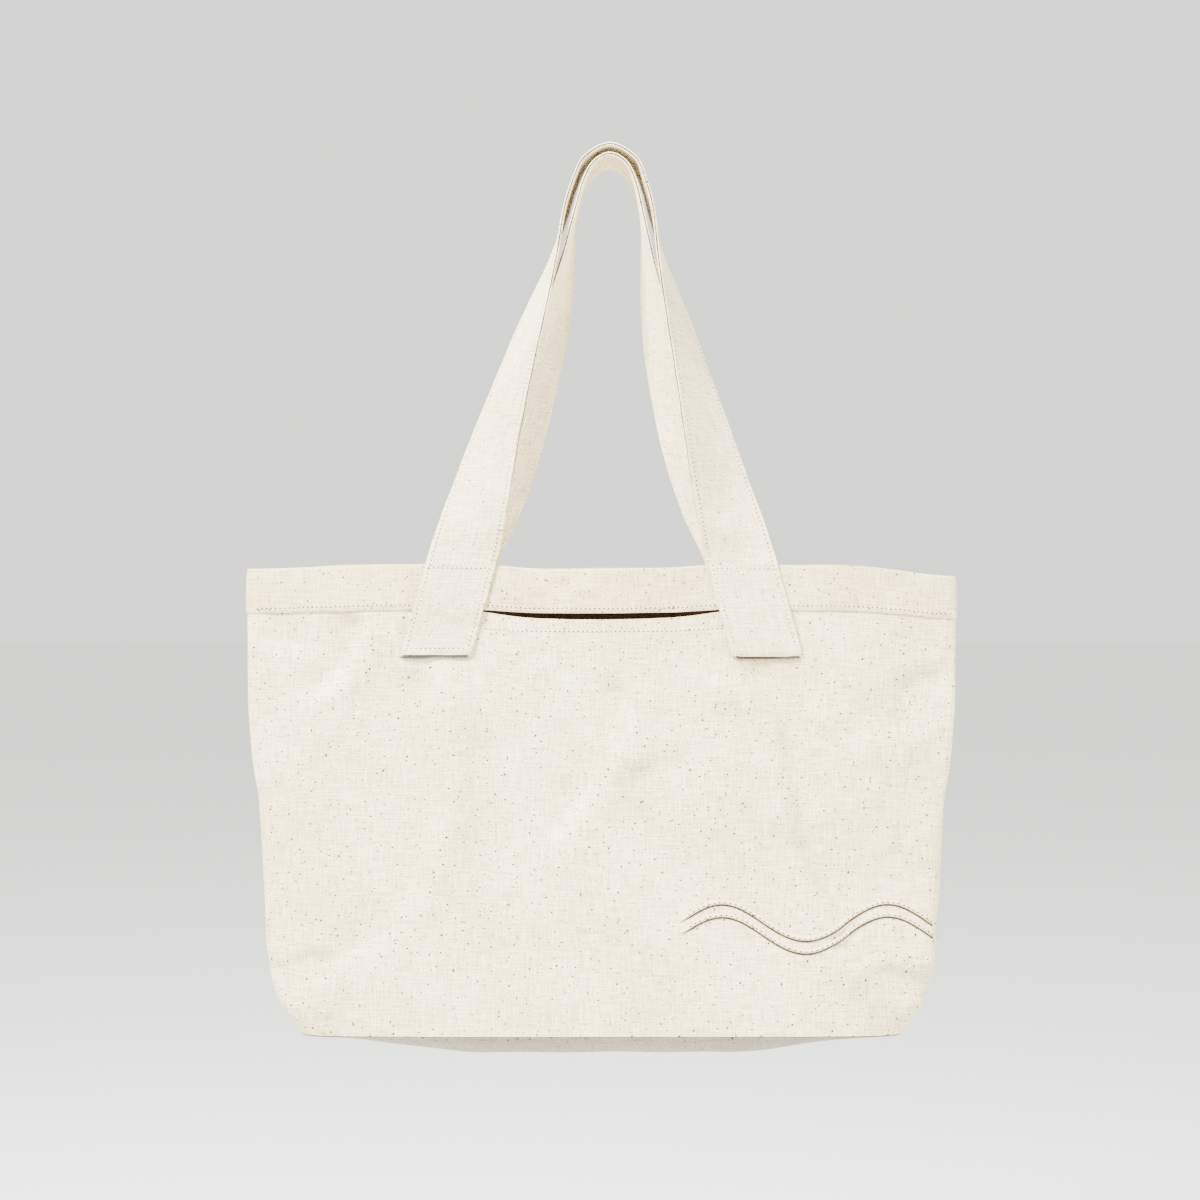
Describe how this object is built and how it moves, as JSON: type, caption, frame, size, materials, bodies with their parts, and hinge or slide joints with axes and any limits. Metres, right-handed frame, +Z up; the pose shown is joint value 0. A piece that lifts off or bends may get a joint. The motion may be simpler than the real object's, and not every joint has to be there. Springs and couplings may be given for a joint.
{
  "type": "canvas tote bag",
  "caption": "Natural cotton canvas tote bag with a wide front pocket, boxed bottom and long handles, hanging by both handles.",
  "frame": {"origin": "hook seat: the underside of the back handle's loop at its highest point, where the peg carries the bag", "axes": "+Z up, -Y is the front with the pocket, +X to the right seen from the front"},
  "size_m": [0.4666, 0.0737, 0.5921],
  "materials": {
    "natural_canvas": "unbleached woven cotton with small brown seed flecks",
    "band_canvas": "unbleached woven cotton, folded double, slightly tan",
    "strap_canvas": "tightly woven cotton, folded and pressed",
    "seam_canvas": "raw inside of unbleached cotton",
    "cotton_thread": "undyed spun thread"
  },
  "bodies": {
    "bag": {"front_panel": "natural_canvas", "back_panel": "natural_canvas", "pocket_panel": "natural_canvas", "bottom_panel": "natural_canvas", "front_band": "band_canvas", "back_band": "band_canvas", "pocket_mouth_hem": "natural_canvas", "left_side_seam": "seam_canvas", "right_side_seam": "seam_canvas", "front_bottom_seam": "seam_canvas", "back_bottom_seam": "seam_canvas", "left_corner_seam": "seam_canvas", "right_corner_seam": "seam_canvas", "wave_tuck_upper": "natural_canvas", "wave_tuck_lower": "natural_canvas", "front_band_stitching": "cotton_thread", "back_band_stitching": "cotton_thread", "pocket_hem_stitching": "cotton_thread", "front_left_strap_end": "strap_canvas", "front_left_strap_end_stitching": "cotton_thread", "front_right_strap_end": "strap_canvas", "front_right_strap_end_stitching": "cotton_thread", "back_left_strap_end": "strap_canvas", "back_left_strap_end_stitching": "cotton_thread", "back_right_strap_end": "strap_canvas", "back_right_strap_end_stitching": "cotton_thread"},
    "front_handle": {"front_handle_strap": "strap_canvas", "front_handle_inner_stitching": "cotton_thread", "front_handle_outer_stitching": "cotton_thread"},
    "back_handle": {"back_handle_strap": "strap_canvas", "back_handle_inner_stitching": "cotton_thread", "back_handle_outer_stitching": "cotton_thread"}
  },
  "joints": [
    {"name": "front_handle_fold", "type": "hinge", "parent": "bag", "child": "front_handle", "pos_m": [0, -0.01324, -0.2656], "axis": [1, 0, 0], "range_deg": [0, 140]},
    {"name": "back_handle_fold", "type": "hinge", "parent": "bag", "child": "back_handle", "pos_m": [0, 0.01184, -0.2656], "axis": [-1, 0, 0], "range_deg": [0, 140]}
  ]
}
